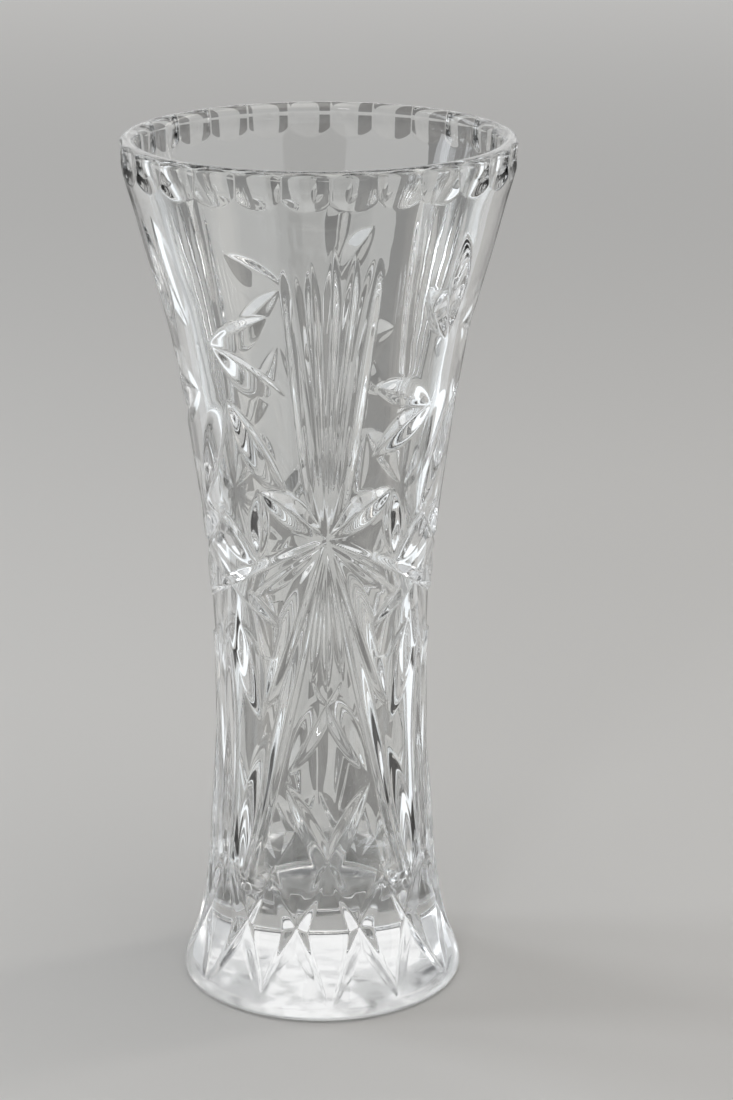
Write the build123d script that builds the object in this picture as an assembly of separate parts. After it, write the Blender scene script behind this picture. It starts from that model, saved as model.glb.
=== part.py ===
"""Cut-glass bud vase, one piece of clear crystal.

Millimetres, +Z up, origin at the centre of the flat foot.  A cut star faces the
front (-Y).  The blank is turned first, then every cut is ground out of it with
the shape of the wheel that makes it: mitre wheels for the V grooves, a wheel with
a rounded edge for the two fingers of the fan and a round stone for the flutes.
Azimuths run from the front towards +X.
"""
import os
from math import asin, cos, degrees, radians, sin, tan

from build123d import *

# ---- the blank ---------------------------------------------------------------
HEIGHT = 200.0
FOOT_RADIUS = 32.8
FOOT_FLAT_RADIUS = 31.6
FOOT_EDGE_HEIGHT = 1.5
LIP_OUTER_RADIUS = 44.4
LIP_INNER_RADIUS = 40.3
LIP_START_HEIGHT = 198.0
FLOOR_HEIGHT = 19.0

# height and radius of the outer wall, from the foot edge to the lip
OUTER_WALL = [
    (FOOT_EDGE_HEIGHT, FOOT_RADIUS),
    (8.0, 30.8),
    (14.0, 29.0),
    (20.0, 27.9),
    (28.0, 26.8),
    (38.0, 26.1),
    (50.0, 25.3),
    (64.0, 24.6),
    (80.0, 24.8),
    (96.0, 25.5),
    (112.0, 26.9),
    (128.0, 29.0),
    (144.0, 31.4),
    (160.0, 34.6),
    (176.0, 39.1),
    (188.0, 42.3),
    (LIP_START_HEIGHT, LIP_OUTER_RADIUS),
]
# height and radius of the inside, from the middle of the floor to the lip
INNER_WALL = [
    (FLOOR_HEIGHT, 0.0),
    (20.0, 11.5),
    (24.0, 17.5),
    (32.0, 20.2),
    (50.0, 20.3),
    (72.0, 19.8),
    (96.0, 20.6),
    (112.0, 22.1),
    (128.0, 24.3),
    (144.0, 26.9),
    (160.0, 30.2),
    (176.0, 34.8),
    (188.0, 38.1),
    (LIP_START_HEIGHT, LIP_INNER_RADIUS),
]

# ---- the cut pattern ---------------------------------------------------------
SECTORS = 3                 # star and pinwheel repeat three times round the vase
SECTOR_ANGLE = 360.0 / SECTORS
STAR_HEIGHT = 113.7

FAN_LEAN = 1.2              # degrees the fan over the star leans to the right
FAN_ROOT_STEP = 0.7         # degrees between neighbouring grooves of the fan at the star
FAN_TIP_STEP = 7.1          # and at their tips
FAN_ROOT_HEIGHT = STAR_HEIGHT + 1.5
FAN_TIP_HEIGHT = 183.0
FAN_TIP_DROP = 2.0          # each tip stands this much lower than its inner neighbour
FAN_DEPTH = 1.7
FINGER_PLACE = 2            # the outermost groove on each side is a round-ended finger
FINGER_DEPTH = 1.4
FINGER_EDGE_RADIUS = 4.0    # of the rounded wheel that cuts it

# Every mitre groove is (start, end, depth, half angle of the wheel edge, sideways lean of the
# wheel); start and end are (azimuth, height), with angles in degrees.
# Out of the star, and mirrored to its other side:
PETAL = ((1.5, 115.3), (31.5, 125.2), 2.0, 60.0, -8.0)
ARC = ((1.2, 114.0), (98.0, 92.4), 1.9, 60.0, 12.0)
LOWER_ARC = ((2.5, 112.4), (42.0, 98.7), 1.1, 56.0, 0.0)
WIDE_RAY = ((1.5, 113.0), (36.5, 71.5), 1.5, 60.0, -6.0)
LONG_RAY = ((0.6, 112.0), (48.0, 22.0), 1.4, 54.0, 0.0)
SHORT_RAY = ((0.5, 109.5), (8.0, 81.0), 0.9, 54.0, 0.0)
# straight down from the star
STEM = ((0.0, 112.5), (0.0, 77.5), 1.0, 54.0, 0.0)
# between the star and the pinwheel, mirrored as well
DROP = ((31.0, 125.5), (34.5, 109.0), 1.4, 60.0, 0.0)
HIGH_LEAF = ((33.0, 106.0), (67.5, 119.3), 1.7, 60.0, -6.0)
TIE = ((21.5, 92.4), (51.0, 103.3), 1.1, 54.0, 0.0)
BROAD_LEAF = ((53.5, 95.8), (36.5, 69.2), 1.8, 66.0, 8.0)
LOW_LEAF = ((32.0, 66.0), (48.5, 30.0), 1.6, 65.0, 0.0)
# the plain diamond under the star is framed by these two and their mirror images
DIAMOND_ROOF = ((-7.0, 79.7), (21.5, 57.5), 1.6, 60.0, -8.0)
DIAMOND_FLOOR = ((-23.0, 55.4), (9.0, 28.0), 1.5, 58.0, 0.0)
# upright leaf half way between two stars
CENTRE_LEAF = ((60.0, 90.0), (60.0, 25.5), 1.3, 66.0, 0.0)

PINWHEEL_HEIGHT = 151.0
PINWHEEL_AZIMUTH = 61.0
PINWHEEL_CORNER_REACH = 10.5
PINWHEEL_WHEEL = (1.8, 60.0, 8.0)   # depth, half angle and lean of every blade
# of each blade, as seen from the middle of the pinwheel: the direction of the corner it
# starts from, the direction of its tip (degrees from the horizontal) and the tip's reach (mm)
PINWHEEL_BLADES = [
    (48, 35, 28),
    (44, -5, 24),
    (-29, -49, 34),
    (-34, -100, 32),
    (226, 217, 28),
    (221, 182, 24),
    (129, 127, 26),
    (122, 105, 34),
]

FOOT_CROSS_PAIRS = 6        # two crossed mitres under every star and every centre leaf
FOOT_CROSS_AZIMUTH = 16.0   # how far each of the two stands off that line
FOOT_CROSS_LOW = (15.0, 4.3)        # lower and upper ends, from the middle of the cross
FOOT_CROSS_HIGH = (17.0, 35.5)
FOOT_CROSS_DEPTH = 1.6

FLUTES = 27                 # round flutes under the lip
FLUTE_STONE_RADIUS = 22.0
FLUTE_DEPTH = 1.3
FLUTE_HEIGHT = 196.8

MITRE_HALF_ANGLE = 56.0     # of the usual mitre wheel
CUTTER_CLEARANCE = 3.0      # how far a cutter stands out of the wall
CUTTER_OVERRUN = 1.06       # a cutter runs on a little past both ends of its groove


def fair_curve(points, start_direction, end_direction):
    """Smooth curve through points that leaves and arrives in the given directions."""
    return Spline(*points, tangents=[start_direction, end_direction], tangent_scalars=[1.0, 1.0])


def outline():
    """Half section of the blank, drawn in the XZ plane."""
    outer = fair_curve([(r, 0, z) for z, r in OUTER_WALL], (0, 0, 1), (0, 0, 1))
    inner = fair_curve([(r, 0, z) for z, r in INNER_WALL], (1, 0, 0), (0, 0, 1))
    lip_middle = (LIP_OUTER_RADIUS + LIP_INNER_RADIUS) / 2
    lip = ThreePointArc(outer @ 1, (lip_middle, 0, HEIGHT), inner @ 1)
    base = Line((0, 0, 0), (FOOT_FLAT_RADIUS, 0, 0))
    edge = fair_curve([base @ 1, outer @ 0], (1, 0, 0), (0, 0, 1))
    axis = Line((0, 0, FLOOR_HEIGHT), (0, 0, 0))
    return outer, make_face(Wire([base, edge, outer, lip, inner, axis]))


WALL_CURVE, HALF_SECTION = outline()


def wall_at(height):
    """Radius and slope (radius gained per mm of height) of the uncut outer wall."""
    low, high = 0.0, 1.0
    while high - low > 1e-7:
        middle = (low + high) / 2
        if (WALL_CURVE @ middle).Z < height:
            low = middle
        else:
            high = middle
    tangent = WALL_CURVE % low
    return (WALL_CURVE @ low).X, tangent.X / tangent.Z


def wall_point(azimuth, height):
    radius, _ = wall_at(height)
    a = radians(azimuth)
    return Vector(radius * sin(a), -radius * cos(a), height)


def wall_normal(azimuth, height):
    _, slope = wall_at(height)
    a = radians(azimuth)
    return Vector(sin(a), -cos(a), -slope).normalized()


def wheel_path(start, end, depth):
    """Where a cutting wheel runs: the keel of the groove half way, the way out of the
    wall, the way across the groove, the wheel's hub axis and the angle it sweeps.

    The keel is an arc that leaves the wall at both ends and lies depth below it
    half way.
    """
    first = wall_point(*start)
    last = wall_point(*end)
    middle = ((start[0] + end[0]) / 2, (start[1] + end[1]) / 2)
    along = (last - first).normalized()
    out = wall_normal(*middle)
    out = (out - along * out.dot(along)).normalized()
    side = along.cross(out)
    half_chord = (last - first).length / 2
    chord_middle = (first + last) * 0.5
    keel = chord_middle + out * ((wall_point(*middle) - chord_middle).dot(out) - depth)
    sagitta = (chord_middle - keel).dot(out)
    wheel_radius = (half_chord**2 + sagitta**2) / (2 * sagitta)
    sweep = 2 * degrees(asin(min(1.0, half_chord / abs(wheel_radius)))) * CUTTER_OVERRUN
    return keel, out, side, Axis(keel + out * wheel_radius, side), sweep


def mitre(start, end, depth, half_angle=MITRE_HALF_ANGLE, lean=0.0):
    """The glass a mitre wheel takes out between two points of the wall."""
    keel, out, side, hub_axis, sweep = wheel_path(start, end, depth)
    reach = depth + CUTTER_CLEARANCE
    left = reach * tan(radians(half_angle - lean))
    right = reach * tan(radians(half_angle + lean))
    tooth = make_face(
        Polyline(keel, keel + out * reach - side * left, keel + out * reach + side * right, close=True)
    )
    return revolve(tooth, hub_axis, sweep).rotate(hub_axis, -sweep / 2)


def finger(start, end, depth, edge_radius):
    """The glass a wheel with a rounded edge takes out: a groove with blunt, round ends."""
    keel, out, side, hub_axis, sweep = wheel_path(start, end, depth)
    edge_plane = Plane(origin=keel + out * edge_radius, x_dir=side, z_dir=side.cross(out))
    edge = edge_plane * Circle(edge_radius)
    return revolve(edge, hub_axis, sweep).rotate(hub_axis, -sweep / 2)


def mirrored(start, end, depth, half_angle, lean):
    """A mitre groove and its mirror image about the plane through the star."""
    return [
        mitre(start, end, depth, half_angle, lean),
        mitre((-start[0], start[1]), (-end[0], end[1]), depth, half_angle, -lean),
    ]


def star_fan():
    """Long narrow grooves standing up from the star, a finger outermost on each side."""
    grooves = []
    for place in range(-FINGER_PLACE, FINGER_PLACE + 1):
        root = (FAN_ROOT_STEP * place, FAN_ROOT_HEIGHT)
        tip = (FAN_LEAN + FAN_TIP_STEP * place, FAN_TIP_HEIGHT - FAN_TIP_DROP * abs(place))
        if abs(place) == FINGER_PLACE:
            grooves.append(finger(root, tip, FINGER_DEPTH, FINGER_EDGE_RADIUS))
        else:
            grooves.append(mitre(root, tip, FAN_DEPTH))
    return grooves


def star_rays():
    """The grooves that run out of the star sideways and down."""
    rays = [mirrored(*ray) for ray in (PETAL, ARC, LOWER_ARC, WIDE_RAY, LONG_RAY, SHORT_RAY)]
    return rays + [[mitre(*STEM)]]


def side_leaves():
    """Leaf-shaped cuts between the star and the pinwheel."""
    return [mirrored(*leaf) for leaf in (DROP, HIGH_LEAF, TIE, BROAD_LEAF, LOW_LEAF)]


def diamond():
    """Crossed grooves that frame the plain diamond below the star."""
    return [mirrored(*DIAMOND_ROOF), mirrored(*DIAMOND_FLOOR)]


def pinwheel():
    """Eight blades, two from each corner of a plain button."""
    radius, _ = wall_at(PINWHEEL_HEIGHT)
    blades = []
    for corner, direction, reach in PINWHEEL_BLADES:
        ends = []
        for angle, length in ((corner, PINWHEEL_CORNER_REACH), (direction, reach)):
            across = length * cos(radians(angle))
            height = PINWHEEL_HEIGHT + length * sin(radians(angle))
            near_radius = (radius + wall_at(height)[0]) / 2
            ends.append((PINWHEEL_AZIMUTH + degrees(across / near_radius), height))
        blades.append(mitre(ends[0], ends[1], *PINWHEEL_WHEEL))
    return blades


def foot_crosses():
    """Crossed mitres round the flare of the foot."""
    low_turn, low = FOOT_CROSS_LOW
    high_turn, high = FOOT_CROSS_HIGH
    rising = []
    falling = []
    for place in range(FOOT_CROSS_PAIRS):
        for offset in (-FOOT_CROSS_AZIMUTH, FOOT_CROSS_AZIMUTH):
            centre = 360.0 / FOOT_CROSS_PAIRS * place + offset
            rising.append(mitre((centre - low_turn, low), (centre + high_turn, high), FOOT_CROSS_DEPTH))
            falling.append(mitre((centre + low_turn, low), (centre - high_turn, high), FOOT_CROSS_DEPTH))
    return [rising[0::2], rising[1::2], falling[0::2], falling[1::2]]


def lip_flutes():
    """Round flutes side by side under the lip, a ridge standing over each star."""
    pitch = 360.0 / FLUTES
    stone_out = FLUTE_STONE_RADIUS - FLUTE_DEPTH
    flutes = []
    for place in range(FLUTES):
        azimuth = pitch * (place + 0.5)
        centre = wall_point(azimuth, FLUTE_HEIGHT) + wall_normal(azimuth, FLUTE_HEIGHT) * stone_out
        flutes.append(Pos(*centre) * Sphere(FLUTE_STONE_RADIUS))
    return [flutes[0::3], flutes[1::3], flutes[2::3]]


def round_the_vase(grooves):
    """The same grooves at every star."""
    return [
        groove.rotate(Axis.Z, SECTOR_ANGLE * sector)
        for groove in grooves
        for sector in range(SECTORS)
    ]


def cut_vase():
    vase = revolve(HALF_SECTION, Axis.Z)
    passes = [[groove] for groove in star_fan()]
    passes += star_rays() + side_leaves() + diamond() + [[mitre(*CENTRE_LEAF)]]
    passes += [[blade] for blade in pinwheel()]
    for grooves in passes:
        vase = vase - round_the_vase(grooves)
    for grooves in foot_crosses() + lip_flutes():
        vase = vase - grooves
    return vase


def main():
    os.makedirs("parts", exist_ok=True)
    vase = cut_vase()
    vase.label = "vase"
    export_step(vase, "parts/vase.step")


if __name__ == "__main__":
    main()
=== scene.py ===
"""Cut-glass bud vase: the looks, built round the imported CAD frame.

The glass is one mesh made in code.  A blank of revolution is laid out as a fine
grid and every cut is taken out of it with the same wheel geometry as the part:
mitre wheels for the V grooves, a wheel with a rounded edge for the two fingers of the
fan, and a round stone for the flutes under the lip.
Lengths in the tables are design millimetres; UNIT turns them into frame metres.
"""

import math

import bpy
import numpy as np
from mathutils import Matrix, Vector


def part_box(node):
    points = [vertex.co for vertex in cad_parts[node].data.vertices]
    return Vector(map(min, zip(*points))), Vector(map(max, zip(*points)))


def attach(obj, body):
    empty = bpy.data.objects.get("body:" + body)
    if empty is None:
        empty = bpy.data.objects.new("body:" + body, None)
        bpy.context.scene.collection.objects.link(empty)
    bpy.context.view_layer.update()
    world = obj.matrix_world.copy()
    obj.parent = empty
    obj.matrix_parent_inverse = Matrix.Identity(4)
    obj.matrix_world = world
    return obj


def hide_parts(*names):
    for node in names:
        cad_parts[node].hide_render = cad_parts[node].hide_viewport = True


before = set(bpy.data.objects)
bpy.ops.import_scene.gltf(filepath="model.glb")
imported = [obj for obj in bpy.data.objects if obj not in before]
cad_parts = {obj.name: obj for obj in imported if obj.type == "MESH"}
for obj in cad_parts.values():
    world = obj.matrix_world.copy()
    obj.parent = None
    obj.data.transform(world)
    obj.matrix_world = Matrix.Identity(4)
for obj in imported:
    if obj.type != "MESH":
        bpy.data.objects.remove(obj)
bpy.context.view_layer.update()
CAD_LOW, CAD_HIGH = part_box("vase")
HEIGHT = 200.0                                   # of the vase, in design millimetres
UNIT = (CAD_HIGH.z - CAD_LOW.z) / HEIGHT         # one design millimetre in metres
AXIS = Vector((0.0, 0.0, CAD_LOW.z))             # the frame stands on the middle of the foot

# ---- the blank ---------------------------------------------------------------
FOOT_RADIUS = 32.8
FOOT_FLAT_RADIUS = 31.6
FOOT_EDGE_HEIGHT = 1.5
LIP_OUTER_RADIUS = 44.4
LIP_INNER_RADIUS = 40.3
LIP_START_HEIGHT = 198.0
FLOOR_HEIGHT = 19.0
OUTER_WALL = [
    (FOOT_EDGE_HEIGHT, FOOT_RADIUS), (8.0, 30.8), (14.0, 29.0), (20.0, 27.9), (28.0, 26.8),
    (38.0, 26.1), (50.0, 25.3), (64.0, 24.6), (80.0, 24.8), (96.0, 25.5), (112.0, 26.9),
    (128.0, 29.0), (144.0, 31.4), (160.0, 34.6), (176.0, 39.1), (188.0, 42.3),
    (LIP_START_HEIGHT, LIP_OUTER_RADIUS),
]
INNER_WALL = [
    (24.0, 17.5), (32.0, 20.2), (50.0, 20.3), (72.0, 19.8), (96.0, 20.6), (112.0, 22.1),
    (128.0, 24.3), (144.0, 26.9), (160.0, 30.2), (176.0, 34.8), (188.0, 38.1),
    (LIP_START_HEIGHT, LIP_INNER_RADIUS),
]
INNER_START_SLOPE = 1.03    # of the inner wall where it rises out of the floor
FLOOR_DISH_POWER = 3.4      # the floor is flat in the middle and turns up towards the wall

# ---- the cut pattern ---------------------------------------------------------
SECTORS = 3                 # star and pinwheel repeat three times round the vase
SECTOR_ANGLE = 360.0 / SECTORS
STAR_HEIGHT = 113.7

FAN_LEAN = 1.2              # degrees the fan over the star leans to the right
FAN_ROOT_STEP = 0.7         # degrees between neighbouring grooves of the fan at the star
FAN_TIP_STEP = 7.1          # and at their tips
FAN_ROOT_HEIGHT = STAR_HEIGHT + 1.5
FAN_TIP_HEIGHT = 183.0
FAN_TIP_DROP = 2.0          # each tip stands this much lower than its inner neighbour
FAN_DEPTH = 1.7
FINGER_PLACE = 2            # the outermost groove on each side is a round-ended finger
FINGER_DEPTH = 1.4
FINGER_EDGE_RADIUS = 4.0    # of the rounded wheel that cuts it

# Every mitre groove is (start, end, depth, half angle of the wheel edge, sideways lean of the
# wheel); start and end are (azimuth, height), with angles in degrees.
# Out of the star, and mirrored to its other side:
PETAL = ((1.5, 115.3), (31.5, 125.2), 2.0, 60.0, -8.0)
ARC = ((1.2, 114.0), (98.0, 92.4), 1.9, 60.0, 12.0)
LOWER_ARC = ((2.5, 112.4), (42.0, 98.7), 1.1, 56.0, 0.0)
WIDE_RAY = ((1.5, 113.0), (36.5, 71.5), 1.5, 60.0, -6.0)
LONG_RAY = ((0.6, 112.0), (48.0, 22.0), 1.4, 54.0, 0.0)
SHORT_RAY = ((0.5, 109.5), (8.0, 81.0), 0.9, 54.0, 0.0)
# straight down from the star
STEM = ((0.0, 112.5), (0.0, 77.5), 1.0, 54.0, 0.0)
# between the star and the pinwheel, mirrored as well
DROP = ((31.0, 125.5), (34.5, 109.0), 1.4, 60.0, 0.0)
HIGH_LEAF = ((33.0, 106.0), (67.5, 119.3), 1.7, 60.0, -6.0)
TIE = ((21.5, 92.4), (51.0, 103.3), 1.1, 54.0, 0.0)
BROAD_LEAF = ((53.5, 95.8), (36.5, 69.2), 1.8, 66.0, 8.0)
LOW_LEAF = ((32.0, 66.0), (48.5, 30.0), 1.6, 65.0, 0.0)
# the plain diamond under the star is framed by these two and their mirror images
DIAMOND_ROOF = ((-7.0, 79.7), (21.5, 57.5), 1.6, 60.0, -8.0)
DIAMOND_FLOOR = ((-23.0, 55.4), (9.0, 28.0), 1.5, 58.0, 0.0)
# upright leaf half way between two stars
CENTRE_LEAF = ((60.0, 90.0), (60.0, 25.5), 1.3, 66.0, 0.0)

PINWHEEL_HEIGHT = 151.0
PINWHEEL_AZIMUTH = 61.0
PINWHEEL_CORNER_REACH = 10.5
PINWHEEL_WHEEL = (1.8, 60.0, 8.0)   # depth, half angle and lean of every blade
# of each blade, as seen from the middle of the pinwheel: the direction of the corner it
# starts from, the direction of its tip (degrees from the horizontal) and the tip's reach (mm)
PINWHEEL_BLADES = [
    (48, 35, 28),
    (44, -5, 24),
    (-29, -49, 34),
    (-34, -100, 32),
    (226, 217, 28),
    (221, 182, 24),
    (129, 127, 26),
    (122, 105, 34),
]

FOOT_CROSS_PAIRS = 6        # two crossed mitres under every star and every centre leaf
FOOT_CROSS_AZIMUTH = 16.0   # how far each of the two stands off that line
FOOT_CROSS_LOW = (15.0, 4.3)        # lower and upper ends, from the middle of the cross
FOOT_CROSS_HIGH = (17.0, 35.5)
FOOT_CROSS_DEPTH = 1.6

FLUTES = 27                 # round flutes under the lip
FLUTE_STONE_RADIUS = 22.0
FLUTE_DEPTH = 1.3
FLUTE_HEIGHT = 196.8

MITRE_HALF_ANGLE = 56.0     # of the usual mitre wheel
MIRRORED_CUTS = (
    PETAL, ARC, LOWER_ARC, WIDE_RAY, LONG_RAY, SHORT_RAY,
    DROP, HIGH_LEAF, TIE, BROAD_LEAF, LOW_LEAF, DIAMOND_ROOF, DIAMOND_FLOOR,
)

# ---- the mesh ----------------------------------------------------------------
COLUMNS = 864
WALL_ROWS = 640
INNER_ROWS = WALL_ROWS // 4
BASE_ROWS = 14
FOOT_EDGE_ROWS = 9
LIP_ROWS = 25
FLOOR_ROWS = 30
SMALLEST_RING = 0.04        # of the radius of the base or the floor, round its middle point
KEEL_ROUNDING = 0.28        # the wheel's own edge isn't a knife
EDGE_ROUNDING = 0.38        # the polish takes the sharpness off every ridge
FLUTE_ROUNDING = 0.14       # the ridges between the flutes stay crisper

# the search for where a wall point, going inward, meets a groove
BITE_PASSES = 3
LEAST_FALL = 0.35           # least share of a step inward that may count as a step into the groove
LEAST_EDGE = 0.1            # keeps the rounded edge from standing upright beside the wheel
REACH_MARGIN = 1.5          # a groove is tried this far outside its own width
REACH_RADIUS = 24.0         # and, in azimuth, as if the wall were this narrow
RUN_OUT = 2.0               # a wheel bites up to this far past the ends of its groove
CLEAR = -9.0                # the bite of a groove whose ends lie too far away
NO_FLUTE = 999.0            # how far out glass may stand where no stone has been


class Curve:
    """Radius against height through knots: a cubic spline with a given slope at each end."""

    def __init__(self, knots, end_slopes=(0.0, 0.0)):
        self.x = np.array([k[0] for k in knots])
        self.y = np.array([k[1] for k in knots])
        n = len(knots)
        step = np.diff(self.x)
        matrix = np.zeros((n, n))
        right = np.zeros(n)
        matrix[0, 0] = matrix[-1, -1] = 1.0
        right[0], right[-1] = end_slopes
        for i in range(1, n - 1):
            before, after = step[i - 1], step[i]
            matrix[i, i - 1] = 1.0 / before
            matrix[i, i] = 2.0 / before + 2.0 / after
            matrix[i, i + 1] = 1.0 / after
            right[i] = 3.0 * (
                (self.y[i] - self.y[i - 1]) / before**2 + (self.y[i + 1] - self.y[i]) / after**2
            )
        self.slope = np.linalg.solve(matrix, right)

    def __call__(self, x):
        """(value, slope) at x."""
        x = np.clip(np.asarray(x, float), self.x[0], self.x[-1])
        i = np.clip(np.searchsorted(self.x, x, side="right") - 1, 0, len(self.x) - 2)
        width = self.x[i + 1] - self.x[i]
        t = (x - self.x[i]) / width
        y0, y1, m0, m1 = self.y[i], self.y[i + 1], self.slope[i] * width, self.slope[i + 1] * width
        value = (
            (2 * t**3 - 3 * t**2 + 1) * y0 + (t**3 - 2 * t**2 + t) * m0
            + (3 * t**2 - 2 * t**3) * y1 + (t**3 - t**2) * m1
        )
        slope = (
            (6 * t**2 - 6 * t) * y0 + (3 * t**2 - 4 * t + 1) * m0
            + (6 * t - 6 * t**2) * y1 + (3 * t**2 - 2 * t) * m1
        ) / width
        return value, slope


OUTER = Curve(OUTER_WALL)
INNER = Curve(INNER_WALL, end_slopes=(INNER_START_SLOPE, 0.0))


def wall_point(azimuth, height):
    """Point of the uncut wall; azimuth 0 faces the front and grows to the right."""
    radius, _ = OUTER(height)
    a = math.radians(azimuth)
    return np.array([radius * math.sin(a), -radius * math.cos(a), height])


def wall_normal(azimuth, height):
    """Outward normal of the uncut wall."""
    _, slope = OUTER(height)
    a = math.radians(azimuth)
    normal = np.array([math.sin(a), -math.cos(a), -slope])
    return normal / np.linalg.norm(normal)


class Groove:
    """A groove between two points of the wall, as the wheel that cuts it.

    A mitre wheel has half_angle and lean; a wheel with a rounded edge has edge_radius.
    """

    def __init__(self, start, end, depth, half_angle=MITRE_HALF_ANGLE, lean=0.0, edge_radius=None):
        first, last = wall_point(*start), wall_point(*end)
        middle = ((start[0] + end[0]) / 2, (start[1] + end[1]) / 2)
        self.along = (last - first) / np.linalg.norm(last - first)
        out = wall_normal(*middle)
        out = out - self.along * (out @ self.along)
        self.out = out / np.linalg.norm(out)
        self.side = np.cross(self.along, self.out)
        self.half_chord = np.linalg.norm(last - first) / 2
        self.chord_middle = (first + last) / 2
        drop = (wall_point(*middle) - self.chord_middle) @ self.out - depth
        keel = self.chord_middle + self.out * drop
        sagitta = (self.chord_middle - keel) @ self.out
        self.wheel_radius = (self.half_chord**2 + sagitta**2) / (2 * sagitta)
        self.hub = keel + self.out * self.wheel_radius
        self.left = math.tan(math.radians(half_angle - lean))
        self.right = math.tan(math.radians(half_angle + lean))
        self.edge_radius = edge_radius
        margin = depth * max(self.left, self.right) + REACH_MARGIN
        turn = math.degrees(margin / REACH_RADIUS)
        self.azimuths = (min(start[0], end[0]) - turn, max(start[0], end[0]) + turn)
        self.heights = (min(start[1], end[1]) - margin, max(start[1], end[1]) + margin)

    def bite(self, point, inward):
        """How far each wall point must go inward to reach the groove (negative: clear of it)."""
        moved = np.zeros(point.shape[:2])
        for _ in range(BITE_PASSES):
            rel = point + inward * moved[..., None] - self.hub
            w = rel @ self.side
            flat = rel - w[..., None] * self.side
            reach = np.linalg.norm(flat, axis=2)
            if self.edge_radius:
                level = np.sqrt(np.maximum(self.edge_radius**2 - w**2, LEAST_EDGE**2))
                rise, tilt = self.edge_radius - level, w / level
            else:
                spread = np.where(w < 0, self.left, self.right)
                rounded = np.sqrt(w**2 + KEEL_ROUNDING**2)
                rise, tilt = rounded / spread, w / rounded / spread
            sign = math.copysign(1.0, self.wheel_radius)
            depth = sign * (abs(self.wheel_radius) - reach) - rise
            gradient = -sign * flat / reach[..., None] - tilt[..., None] * self.side
            fall = np.maximum(-np.einsum("ijk,ijk->ij", gradient, inward), LEAST_FALL)
            moved = moved + depth / fall
        run = np.abs((point - self.chord_middle) @ self.along)
        return np.where(run < self.half_chord + RUN_OUT, moved, CLEAR)


def mirrored(start, end, depth, half_angle, lean):
    """A mitre groove and its mirror image about the plane through the star."""
    return [
        (start, end, depth, half_angle, lean),
        ((-start[0], start[1]), (-end[0], end[1]), depth, half_angle, -lean),
    ]


def fan_grooves():
    """Long narrow grooves standing up from the star, a finger outermost on each side."""
    cuts = []
    for place in range(-FINGER_PLACE, FINGER_PLACE + 1):
        root = (FAN_ROOT_STEP * place, FAN_ROOT_HEIGHT)
        tip = (FAN_LEAN + FAN_TIP_STEP * place, FAN_TIP_HEIGHT - FAN_TIP_DROP * abs(place))
        if abs(place) == FINGER_PLACE:
            cuts.append((root, tip, FINGER_DEPTH, MITRE_HALF_ANGLE, 0.0, FINGER_EDGE_RADIUS))
        else:
            cuts.append((root, tip, FAN_DEPTH))
    return cuts


def pinwheel_grooves():
    """Eight blades, two from each corner of a plain button."""
    radius, _ = OUTER(PINWHEEL_HEIGHT)
    cuts = []
    for corner, direction, reach in PINWHEEL_BLADES:
        ends = []
        for angle, length in ((corner, PINWHEEL_CORNER_REACH), (direction, reach)):
            across = length * math.cos(math.radians(angle))
            height = PINWHEEL_HEIGHT + length * math.sin(math.radians(angle))
            near_radius = (radius + OUTER(height)[0]) / 2
            ends.append((PINWHEEL_AZIMUTH + math.degrees(across / near_radius), height))
        cuts.append((*ends, *PINWHEEL_WHEEL))
    return cuts


def foot_grooves():
    """Crossed mitres round the flare of the foot."""
    low_turn, low = FOOT_CROSS_LOW
    high_turn, high = FOOT_CROSS_HIGH
    cuts = []
    for place in range(FOOT_CROSS_PAIRS):
        for offset in (-FOOT_CROSS_AZIMUTH, FOOT_CROSS_AZIMUTH):
            centre = 360.0 / FOOT_CROSS_PAIRS * place + offset
            for way in (-1.0, 1.0):
                bottom = (centre + way * low_turn, low)
                top = (centre - way * high_turn, high)
                cuts.append((bottom, top, FOOT_CROSS_DEPTH))
    return cuts


def all_grooves():
    """Every groove of the vase: one sector's cuts repeated round it, and the foot's crosses."""
    sector = fan_grooves() + [STEM, CENTRE_LEAF] + pinwheel_grooves()
    for cut in MIRRORED_CUTS:
        sector += mirrored(*cut)
    grooves = [Groove(*cut) for cut in foot_grooves()]
    for start, end, *wheel in sector:
        for place in range(SECTORS):
            turn = SECTOR_ANGLE * place
            grooves.append(Groove((start[0] + turn, start[1]), (end[0] + turn, end[1]), *wheel))
    return grooves


def soft_max(a, b, width):
    """Larger of two, with the corner between them rounded over width."""
    overlap = np.maximum(width - np.abs(a - b), 0.0) / width
    return np.maximum(a, b) + overlap**2 * width / 4


def flute_radius(azimuth, height):
    """How far out glass may stand at these azimuths (degrees) and heights, inside the flutes."""
    pitch = 360.0 / FLUTES
    centre = wall_point(0.0, FLUTE_HEIGHT) + wall_normal(0.0, FLUTE_HEIGHT) * (
        FLUTE_STONE_RADIUS - FLUTE_DEPTH
    )
    stone_r, stone_z = -centre[1], centre[2]
    limit = None
    for step in (0, 1):
        off = np.radians((azimuth - pitch / 2) % pitch - step * pitch)
        # a row of stones, so the two nearest ones decide
        inside = (
            FLUTE_STONE_RADIUS**2 - (height - stone_z) ** 2 - (stone_r * np.sin(off)) ** 2
        )
        radius = np.where(
            inside > 0, stone_r * np.cos(off) - np.sqrt(np.maximum(inside, 0.0)), NO_FLUTE
        )
        limit = radius if limit is None else -soft_max(-limit, -radius, FLUTE_ROUNDING)
    return limit


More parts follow.
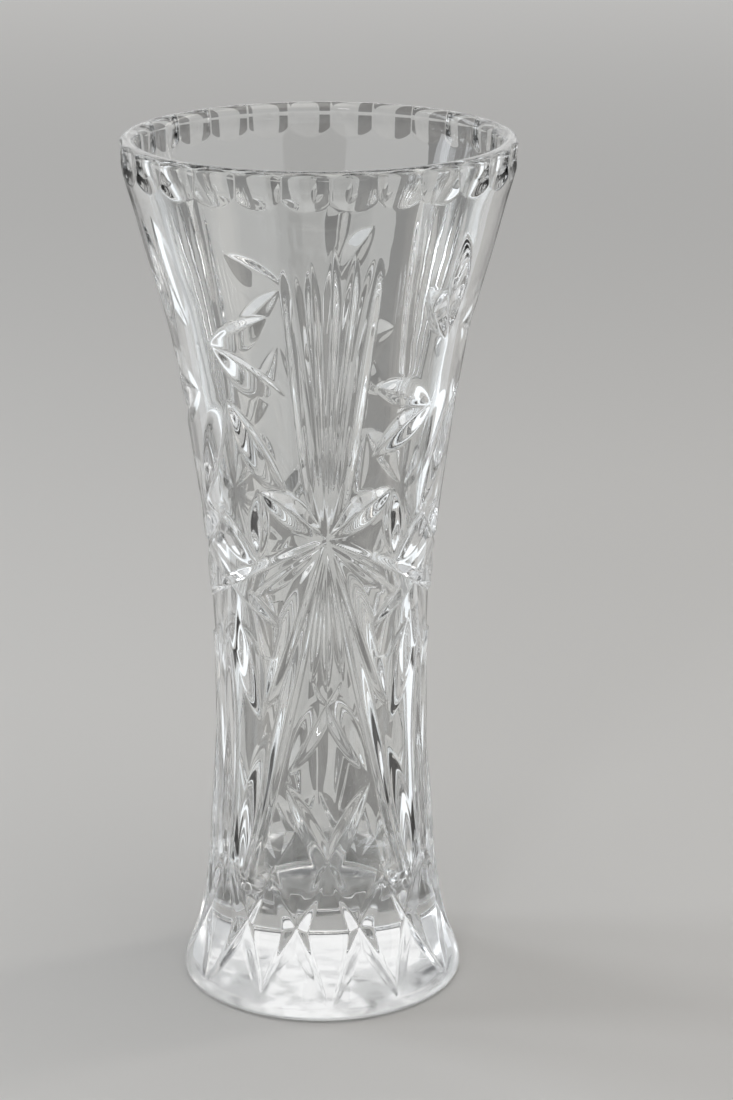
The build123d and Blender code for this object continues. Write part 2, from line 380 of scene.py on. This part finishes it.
def cut_wall(azimuths, heights):
    """Radius of the finished outer wall on a grid of heights by azimuths."""
    radius, _ = OUTER(heights)
    bite = np.zeros((len(heights), len(azimuths)))
    for groove in all_grooves():
        rows = np.where((heights > groove.heights[0]) & (heights < groove.heights[1]))[0]
        low, high = groove.azimuths
        columns = np.where((azimuths - low) % 360.0 < high - low)[0]
        if not len(rows) or not len(columns):
            continue
        a = np.radians(azimuths[columns])[None, :]
        r = radius[rows][:, None]
        outward = np.stack(np.broadcast_arrays(np.sin(a), -np.cos(a), np.zeros_like(r)), axis=2)
        point = outward * r[..., None]
        point[..., 2] = heights[rows][:, None]
        patch = np.ix_(rows, columns)
        bite[patch] = soft_max(bite[patch], groove.bite(point, -outward), EDGE_ROUNDING)
    limit = flute_radius(azimuths[None, :], heights[:, None])
    return -soft_max(-(radius[:, None] - bite), -limit, FLUTE_ROUNDING)


def ring_rows():
    """The blank's rows as (heights, radii): foot, wall, lip and inside, in order."""
    wall_z = np.linspace(FOOT_EDGE_HEIGHT, LIP_START_HEIGHT, WALL_ROWS)
    base_r = FOOT_FLAT_RADIUS * np.linspace(SMALLEST_RING, 1.0, BASE_ROWS)
    turn = np.linspace(0.0, math.pi / 2, FOOT_EDGE_ROWS)[1:-1]
    edge_r = FOOT_FLAT_RADIUS + (FOOT_RADIUS - FOOT_FLAT_RADIUS) * np.sin(turn)
    edge_z = FOOT_EDGE_HEIGHT * (1 - np.cos(turn))
    lip_turn = np.linspace(0.0, math.pi, LIP_ROWS)[1:-1]
    lip_middle = (LIP_OUTER_RADIUS + LIP_INNER_RADIUS) / 2
    lip_half = (LIP_OUTER_RADIUS - LIP_INNER_RADIUS) / 2
    lip_r = lip_middle + lip_half * np.cos(lip_turn)
    lip_z = LIP_START_HEIGHT + (HEIGHT - LIP_START_HEIGHT) * np.sin(lip_turn)
    wall_foot_z, wall_foot_r = INNER_WALL[0]
    inner_z = np.linspace(LIP_START_HEIGHT, wall_foot_z, INNER_ROWS)
    inner_r, _ = INNER(inner_z)
    floor_part = np.linspace(1.0, SMALLEST_RING, FLOOR_ROWS)[1:]
    floor_r = wall_foot_r * floor_part
    floor_z = FLOOR_HEIGHT + (wall_foot_z - FLOOR_HEIGHT) * floor_part**FLOOR_DISH_POWER
    return {
        "base": (np.zeros_like(base_r), base_r),
        "edge": (edge_z, edge_r),
        "wall": (wall_z, None),
        "lip": (lip_z, lip_r),
        "inner": (inner_z, inner_r),
        "floor": (floor_z, floor_r),
    }


def vase_grid():
    """Heights and radii of the finished glass, row by row and column by column."""
    azimuths = np.arange(COLUMNS) * 360.0 / COLUMNS
    heights, radii = [], []
    for name, (z, r) in ring_rows().items():
        if name == "wall":
            grid = cut_wall(azimuths, z)
        else:
            grid = np.repeat(r[:, None], COLUMNS, axis=1)
        if name == "lip":
            limit = flute_radius(azimuths[None, :], z[:, None])
            grid = -soft_max(-grid, -limit, FLUTE_ROUNDING)
        heights.append(np.repeat(z[:, None], COLUMNS, axis=1))
        radii.append(grid)
    return np.vstack(heights), np.vstack(radii)


def vase_points(z, r):
    """The grid's points in metres, then the middle of the base and of the floor."""
    a = np.radians(np.arange(COLUMNS) * 360.0 / COLUMNS)[None, :]
    points = np.stack([r * np.sin(a), -r * np.cos(a), z], axis=2).reshape(-1, 3)
    centres = np.array([[0.0, 0.0, 0.0], [0.0, 0.0, FLOOR_HEIGHT]])
    return np.vstack([points, centres]) * UNIT + np.array(AXIS)


def vase_faces(rows):
    """Quads between the rows, and a fan of triangles round each middle point."""
    row, column = np.meshgrid(np.arange(rows - 1), np.arange(COLUMNS), indexing="ij")
    here = row * COLUMNS + column
    right = row * COLUMNS + (column + 1) % COLUMNS
    quads = np.stack([here, right, right + COLUMNS, here + COLUMNS], axis=2).reshape(-1, 4)
    column = np.arange(COLUMNS)
    after = (column + 1) % COLUMNS
    last = (rows - 1) * COLUMNS
    base_centre = np.full(COLUMNS, rows * COLUMNS)
    base = np.stack([base_centre, after, column], axis=1)
    floor = np.stack([base_centre + 1, last + column, last + after], axis=1)
    return quads, np.vstack([base, floor])


def vase_mesh():
    z, r = vase_grid()
    points = vase_points(z, r)
    quads, triangles = vase_faces(len(r))
    loops = np.concatenate([quads.ravel(), triangles.ravel()])
    sizes = np.concatenate([np.full(len(quads), 4), np.full(len(triangles), 3)])
    starts = np.concatenate([[0], np.cumsum(sizes)[:-1]])
    mesh = bpy.data.meshes.new("vase_glass")
    mesh.vertices.add(len(points))
    mesh.vertices.foreach_set("co", points.astype(np.float32).ravel())
    mesh.loops.add(len(loops))
    mesh.loops.foreach_set("vertex_index", loops.astype(np.int32))
    mesh.polygons.add(len(sizes))
    mesh.polygons.foreach_set("loop_start", starts.astype(np.int32))
    mesh.polygons.foreach_set("use_smooth", np.ones(len(sizes), bool))
    mesh.update(calc_edges=True)
    mesh.validate()
    return mesh


# ---- the glass ---------------------------------------------------------------
CRYSTAL_COLOUR = (0.985, 0.992, 0.99)
CRYSTAL_IOR = 1.545
GROUND_BAND = (0.30, 0.15)          # polished above the first height, ground below the second
GROUND_ROUGHNESS = (0.09, 0.25)     # between its least and its most scuffed patches
SCUFF_SCALE = 170.0                 # noise cells in a metre
SCUFF_DETAIL = 5.0
SCUFF_RANGE = (0.42, 0.60)          # of the noise, spread over the whole of that roughness
WAVE_SCALE = 55.0
WAVE_DETAIL = 2.0
WAVE_STRENGTH = 0.12
WAVE_DISTANCE = 0.0006              # metres


def noise(tree, place, scale, detail):
    """Noise at these coordinates."""
    node = tree.nodes.new("ShaderNodeTexNoise")
    node.inputs["Scale"].default_value = scale
    node.inputs["Detail"].default_value = detail
    tree.links.new(place, node.inputs["Vector"])
    return node.outputs["Fac"]


def remap(tree, value, before, after=(0.0, 1.0), shape="LINEAR"):
    """A value taken from one range to another and held at its ends."""
    node = tree.nodes.new("ShaderNodeMapRange")
    node.interpolation_type = shape
    for name, number in zip(("From Min", "From Max", "To Min", "To Max"), (*before, *after)):
        node.inputs[name].default_value = number
    tree.links.new(value, node.inputs["Value"])
    return node.outputs["Result"]


def crystal():
    """Clear lead crystal, fire polished, with the faint waviness of worked glass."""
    material = bpy.data.materials.new("crystal")
    material.use_nodes = True
    tree = material.node_tree
    shader = tree.nodes["Principled BSDF"]
    shader.inputs["Base Color"].default_value = (*CRYSTAL_COLOUR, 1.0)
    shader.inputs["Transmission Weight"].default_value = 1.0
    shader.inputs["IOR"].default_value = CRYSTAL_IOR
    place = tree.nodes.new("ShaderNodeTexCoord").outputs["Object"]

    # the flat of the foot is ground, and scuffed where it stands on tables
    split = tree.nodes.new("ShaderNodeSeparateXYZ")
    tree.links.new(place, split.inputs["Vector"])
    band = [AXIS.z + height * UNIT for height in GROUND_BAND]
    on_flat = remap(tree, split.outputs["Z"], band)
    scuffs = noise(tree, place, SCUFF_SCALE, SCUFF_DETAIL)
    ground = tree.nodes.new("ShaderNodeMath")
    ground.operation = "MULTIPLY"
    tree.links.new(on_flat, ground.inputs[0])
    tree.links.new(remap(tree, scuffs, SCUFF_RANGE, GROUND_ROUGHNESS), ground.inputs[1])
    tree.links.new(ground.outputs["Value"], shader.inputs["Roughness"])

    bump = tree.nodes.new("ShaderNodeBump")
    bump.inputs["Strength"].default_value = WAVE_STRENGTH
    bump.inputs["Distance"].default_value = WAVE_DISTANCE
    tree.links.new(noise(tree, place, WAVE_SCALE, WAVE_DETAIL), bump.inputs["Height"])
    tree.links.new(bump.outputs["Normal"], shader.inputs["Normal"])
    return material


vase = bpy.data.objects.new("crystal_vase", vase_mesh())
bpy.context.scene.collection.objects.link(vase)
vase.data.materials.append(crystal())
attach(vase, "root")
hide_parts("vase")


# ---- the stage ---------------------------------------------------------------
TALL = HEIGHT * UNIT
WAIST_SHARE = 0.55          # of the height
WAIST = AXIS + Vector((0.0, 0.0, TALL * WAIST_SHARE))
WHITE = (1.0, 1.0, 1.0)

FLOOR_SIZE = 12.0
FLOOR_COLOUR = (0.72, 0.71, 0.69)
AIR_GAP = 0.0002            # the foot rests on its high spots, so its flat never quite touches
FAR_FLOOR = (0.4, 2.2)      # metres from the vase over which the lamps' light gives out
FAR_FLOOR_GLOW = 0.43

DARK_COLOUR = (0.035, 0.032, 0.030)
SHADE_COLOUR = (0.30, 0.29, 0.28)
CARD_ROUGHNESS = 0.9
FRONT_CARD_SIZE = (1.0, 0.8)
FRONT_CARD_PLACE = (0.0, -1.25, 0.75)
BACKDROP_SIZE = (2.4, 0.9)
BACKDROP_PLACE = (0.0, 1.60, 0.80)
BACKDROP_GLOW = 0.95

SPOKE_GLOW = 1.15
COOL_SPOKE_COLOUR = (0.93, 0.97, 1.0)
WARM_SPOKE_COLOUR = (1.0, 0.96, 0.90)
SPOKE_START = 0.055         # metres from the axis
SPOKE_END = 1.2
SPOKE_SPREAD = 16.0         # degrees
SPOKE_LIFT = 0.0004         # above the underside of the foot

COOL_LAMP = (0.92, 0.96, 1.0)
WARM_LAMP = (1.0, 0.965, 0.92)
# name, power in watts, size and place in metres, colour
LAMPS = [
    ("window_near", 1.9, (0.26, 0.80), (-0.85, 0.50, 0.60), COOL_LAMP),
    ("window_far", 1.7, (0.20, 0.80), (-0.90, 0.10, 0.60), COOL_LAMP),
    ("ceiling", 3.2, (0.9, 0.9), (0.20, -0.10, 1.15), WARM_LAMP),
    ("side", 1.0, (0.12, 0.80), (0.80, 0.30, 0.55), WARM_LAMP),
    ("fill", 0.7, (0.15, 0.15), (-0.35, -0.90, 0.80), WHITE),
]

# bright along the horizon, dark above it, softly lit overhead: this is what the cuts pick up
SKY = [
    (0.0, (0.66, 0.67, 0.68)), (0.50, (0.64, 0.65, 0.66)), (0.62, (0.09, 0.09, 0.095)),
    (0.82, (0.09, 0.09, 0.095)), (1.0, (0.42, 0.425, 0.43)),
]


def plain(name, colour, roughness):
    """An even, opaque colour."""
    material = bpy.data.materials.new(name)
    material.use_nodes = True
    shader = material.node_tree.nodes["Principled BSDF"]
    shader.inputs["Base Color"].default_value = (*colour, 1.0)
    shader.inputs["Roughness"].default_value = roughness
    return material


def glowing(name, strength, colour=WHITE):
    """An even glow."""
    material = plain(name, (0.0, 0.0, 0.0), 1.0)
    shader = material.node_tree.nodes["Principled BSDF"]
    shader.inputs["Emission Color"].default_value = (*colour, 1.0)
    shader.inputs["Emission Strength"].default_value = strength
    return material


def pale_floor():
    """Matt and pale; past the lamps' reach it glows a little, so that it stays as pale there."""
    material = plain("pale_floor", FLOOR_COLOUR, 1.0)
    tree = material.node_tree
    shader = tree.nodes["Principled BSDF"]
    shader.inputs["Specular IOR Level"].default_value = 0.0
    shader.inputs["Emission Color"].default_value = (*FLOOR_COLOUR, 1.0)
    place = tree.nodes.new("ShaderNodeTexCoord").outputs["Object"]
    distance = tree.nodes.new("ShaderNodeVectorMath")
    distance.operation = "LENGTH"
    tree.links.new(place, distance.inputs[0])
    glow = remap(tree, distance.outputs["Value"], FAR_FLOOR, (0.0, FAR_FLOOR_GLOW), "SMOOTHSTEP")
    tree.links.new(glow, shader.inputs["Emission Strength"])
    return material


def stage_face(name, corners, material):
    """A flat four-sided piece of the stage."""
    mesh = bpy.data.meshes.new(name)
    mesh.from_pydata(corners, [], [(0, 1, 2, 3)])
    mesh.materials.append(material)
    ob = bpy.data.objects.new(name, mesh)
    bpy.context.scene.collection.objects.link(ob)
    return ob


def aim(ob, centre, target, front):
    """Put an object at centre with its front axis towards target."""
    ob.location = centre
    ob.rotation_euler = (Vector(target) - Vector(centre)).to_track_quat(front, "Y").to_euler()


def sheet(name, size, centre, target, material):
    """A rectangle centred at a point and turned to face another."""
    w, h = size[0] / 2, size[1] / 2
    ob = stage_face(name, [(-w, -h, 0), (w, -h, 0), (w, h, 0), (-w, h, 0)], material)
    aim(ob, centre, target, "Z")
    return ob


def only_for_the_glass(ob):
    """Seen in the glass, but not by the camera, and casting no light or shadow on the floor."""
    ob.visible_camera = False
    ob.visible_diffuse = False
    ob.visible_shadow = False


def spoke(name, heading, material):
    """A strip lying on the floor and widening away from the vase, at a heading from the front."""
    corners = []
    for reach, side in ((SPOKE_START, -1), (SPOKE_END, -1), (SPOKE_END, 1), (SPOKE_START, 1)):
        angle = math.radians(heading + side * SPOKE_SPREAD / 2)
        corners.append((reach * math.sin(angle), -reach * math.cos(angle), SPOKE_LIFT))
    only_for_the_glass(stage_face(name, corners, material))


def lamp(name, power, size, centre, colour):
    """A soft rectangular lamp that shines at the waist of the vase."""
    data = bpy.data.lights.new(name, "AREA")
    data.shape = "RECTANGLE"
    data.size, data.size_y = size
    data.energy = power
    data.color = colour
    ob = bpy.data.objects.new(name, data)
    bpy.context.scene.collection.objects.link(ob)
    aim(ob, centre, WAIST, "-Z")


def studio_world():
    """The sky's colours by height, from straight down to straight up."""
    world = bpy.data.worlds.new("studio")
    world.use_nodes = True
    nodes, links = world.node_tree.nodes, world.node_tree.links
    place = nodes.new("ShaderNodeTexCoord")
    split = nodes.new("ShaderNodeSeparateXYZ")
    ramp = nodes.new("ShaderNodeValToRGB")
    for position, _ in SKY[1:-1]:
        ramp.color_ramp.elements.new(position)
    for element, (_, colour) in zip(ramp.color_ramp.elements, SKY):
        element.color = (*colour, 1.0)
    links.new(place.outputs["Generated"], split.inputs["Vector"])
    links.new(split.outputs["Z"], ramp.inputs["Fac"])
    links.new(ramp.outputs["Color"], nodes["Background"].inputs["Color"])
    nodes["Background"].inputs["Strength"].default_value = 1.0
    return world


floor_centre = AXIS - Vector((0.0, 0.0, AIR_GAP))
straight_up = AXIS + Vector((0.0, 0.0, 1.0))
sheet("floor", (FLOOR_SIZE, FLOOR_SIZE), floor_centre, straight_up, pale_floor())

dark = plain("dark_card", DARK_COLOUR, CARD_ROUGHNESS)
bright = glowing("backdrop_glow", BACKDROP_GLOW)
only_for_the_glass(sheet("card_front", FRONT_CARD_SIZE, FRONT_CARD_PLACE, WAIST, dark))
only_for_the_glass(sheet("backdrop", BACKDROP_SIZE, BACKDROP_PLACE, WAIST, bright))

shade = plain("shade", SHADE_COLOUR, CARD_ROUGHNESS)
cool_glow = glowing("cool_spoke", SPOKE_GLOW, COOL_SPOKE_COLOUR)
warm_glow = glowing("warm_spoke", SPOKE_GLOW, WARM_SPOKE_COLOUR)
# strips that the glass has to bend, by their heading from the front in degrees
SPOKES = [
    (22.0, dark), (66.0, warm_glow), (96.0, dark), (118.0, cool_glow), (164.0, shade),
    (196.0, shade), (242.0, cool_glow), (264.0, dark), (294.0, warm_glow), (338.0, dark),
]
for place, (heading, material) in enumerate(SPOKES):
    spoke(f"spoke_{place}", heading, material)

for row in LAMPS:
    lamp(*row)
bpy.context.scene.world = studio_world()

# ---- the camera --------------------------------------------------------------
CAMERA_AZIMUTH = math.radians(-2.9)          # the star stands a little to its right
CAMERA_DISTANCE = 3.5125 * TALL
CAMERA_HEIGHT = 1.6453 * TALL
CAMERA_PITCH = math.radians(17.788)
CAMERA_YAW = math.radians(0.859)
FILM_HEIGHT = 36.0
FOCAL_LENGTH = 105.0
NEAR_CLIP = 0.01


def photo_camera():
    data = bpy.data.cameras.new("photo_camera")
    data.sensor_fit = "VERTICAL"
    data.sensor_height = FILM_HEIGHT
    data.lens = FOCAL_LENGTH
    data.clip_start = NEAR_CLIP
    camera = bpy.data.objects.new("photo_camera", data)
    bpy.context.scene.collection.objects.link(camera)
    camera.location = AXIS + Vector((
        CAMERA_DISTANCE * math.sin(CAMERA_AZIMUTH),
        -CAMERA_DISTANCE * math.cos(CAMERA_AZIMUTH),
        CAMERA_HEIGHT,
    ))
    heading = CAMERA_YAW - CAMERA_AZIMUTH
    look = Vector((
        math.sin(heading) * math.cos(CAMERA_PITCH),
        math.cos(heading) * math.cos(CAMERA_PITCH),
        -math.sin(CAMERA_PITCH),
    ))
    camera.rotation_euler = look.to_track_quat("-Z", "Y").to_euler()
    return camera


bpy.context.scene.camera = photo_camera()
bpy.context.scene.view_settings.view_transform = "Standard"
cycles = bpy.context.scene.cycles
cycles.max_bounces = 24             # light crosses many glass faces on its way through
cycles.transmission_bounces = 20
cycles.glossy_bounces = 12
cycles.diffuse_bounces = 3
cycles.use_denoising = True
